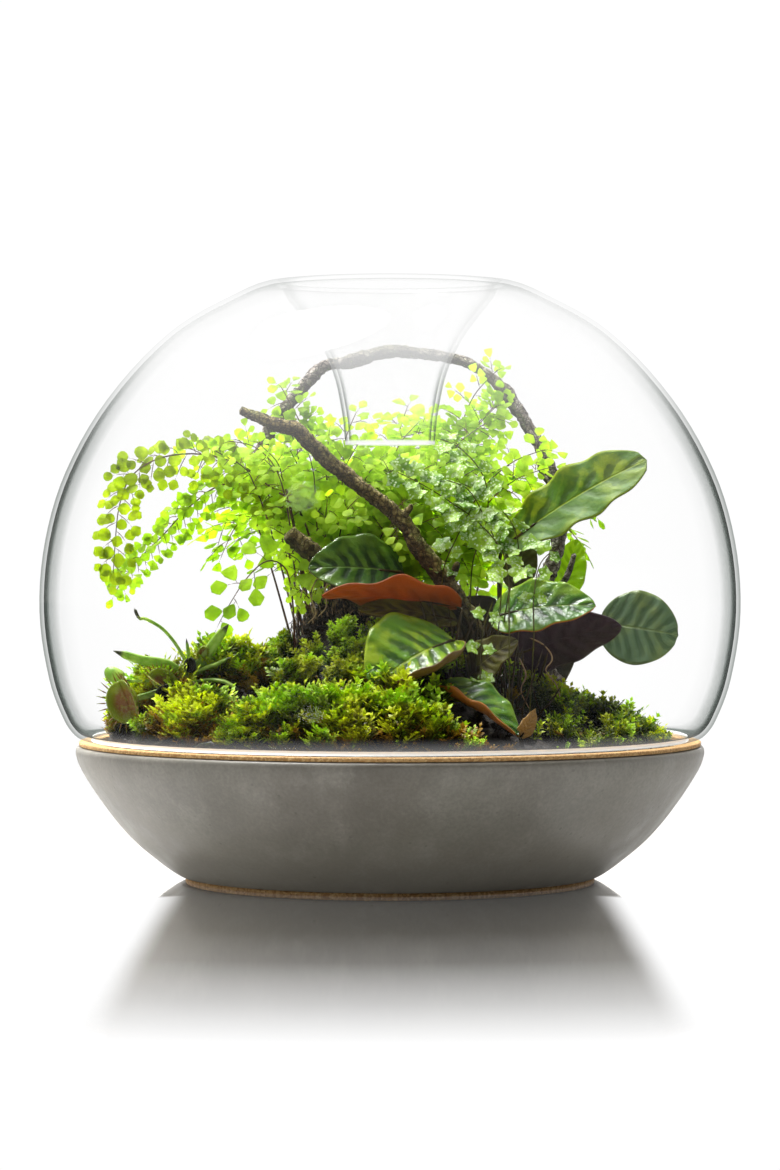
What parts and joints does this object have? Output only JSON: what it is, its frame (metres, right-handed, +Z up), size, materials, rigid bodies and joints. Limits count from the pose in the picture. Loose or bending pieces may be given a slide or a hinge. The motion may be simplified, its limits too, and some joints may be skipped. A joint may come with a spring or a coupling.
{
  "type": "glass plant terrarium",
  "caption": "Round glass dome with a funnel-shaped open top on a low concrete bowl, planted inside with moss, driftwood, fern, creeper and broad leaves.",
  "frame": {"origin": "centre of the cork foot's underside, on the surface the terrarium stands on", "axes": "+Z up along the dome's and bowl's common axis, -Y towards the front that the picture shows, +X to the viewer's right"},
  "size_m": [0.4, 0.4, 0.3419],
  "materials": {
    "concrete": "cast concrete, fine and cloudy, satin",
    "cork": "pressed cork, matte",
    "clear_glass": "clear blown glass, greenish at its edges",
    "gravel": "loose, rounded and dusty",
    "soil": "damp and crumbly",
    "moss_green": "fresh feathery moss",
    "moss_lime": "yellow-green feathery moss",
    "moss_olive": "olive-brown moss",
    "moss_dark": "dark spiky moss",
    "bark": "rough weathered driftwood",
    "bark_dark": "rough dark driftwood",
    "fern": "thin light leaflets that light shines through",
    "fern_deep": "thin mid-green leaflets",
    "creeper": "silver-green, speckled",
    "leaf_green": "glossy, with a dark feather pattern",
    "leaf_dark": "glossy dark green",
    "leaf_blue": "satin blue-green with dark bands",
    "leaf_purple": "matte purple underside",
    "leaf_rust": "dry rust-orange underside",
    "leaf_light": "young light green",
    "flytrap": "olive to red-brown"
  },
  "bodies": {
    "root": {"concrete_bowl": "concrete", "cork_foot": "cork", "cork_gasket": "cork", "glass_dome": "clear_glass", "drainage_gravel": "gravel", "soil": "soil", "moss_hill": "moss_green", "moss_front": "moss_lime", "moss_left": "moss_olive", "moss_right": "moss_dark", "moss_back": "moss_green", "driftwood_front": "bark", "driftwood_arch": "bark_dark", "driftwood_stub": "bark", "prayer_leaf_diagonal": "leaf_green", "prayer_leaf_far_right": "leaf_blue", "prayer_leaf_right": "leaf_green", "prayer_leaf_right_under": "leaf_purple", "prayer_leaf_front": "leaf_green", "prayer_leaf_front_small": "leaf_green", "prayer_leaf_rust": "leaf_rust", "prayer_leaf_left": "leaf_dark", "prayer_leaf_bent": "leaf_rust", "prayer_leaf_upright": "leaf_dark", "prayer_leaf_light": "leaf_light", "prayer_leaf_back_right": "leaf_green", "venus_flytrap": "flytrap", "fern_left_long": "fern", "fern_left_low": "fern_deep", "fern_left_up": "fern", "fern_back_up": "fern", "fern_centre": "fern", "fern_behind_funnel": "fern", "fern_right_top": "fern", "fern_right_mid": "fern", "fern_droop": "fern_deep", "fern_centre_low": "fern_deep", "fern_back_left": "fern_deep", "fern_back_right": "fern_deep", "creeper_front": "creeper", "creeper_right": "creeper", "creeper_low": "creeper", "creeper_middle": "creeper"}
  },
  "joints": []
}
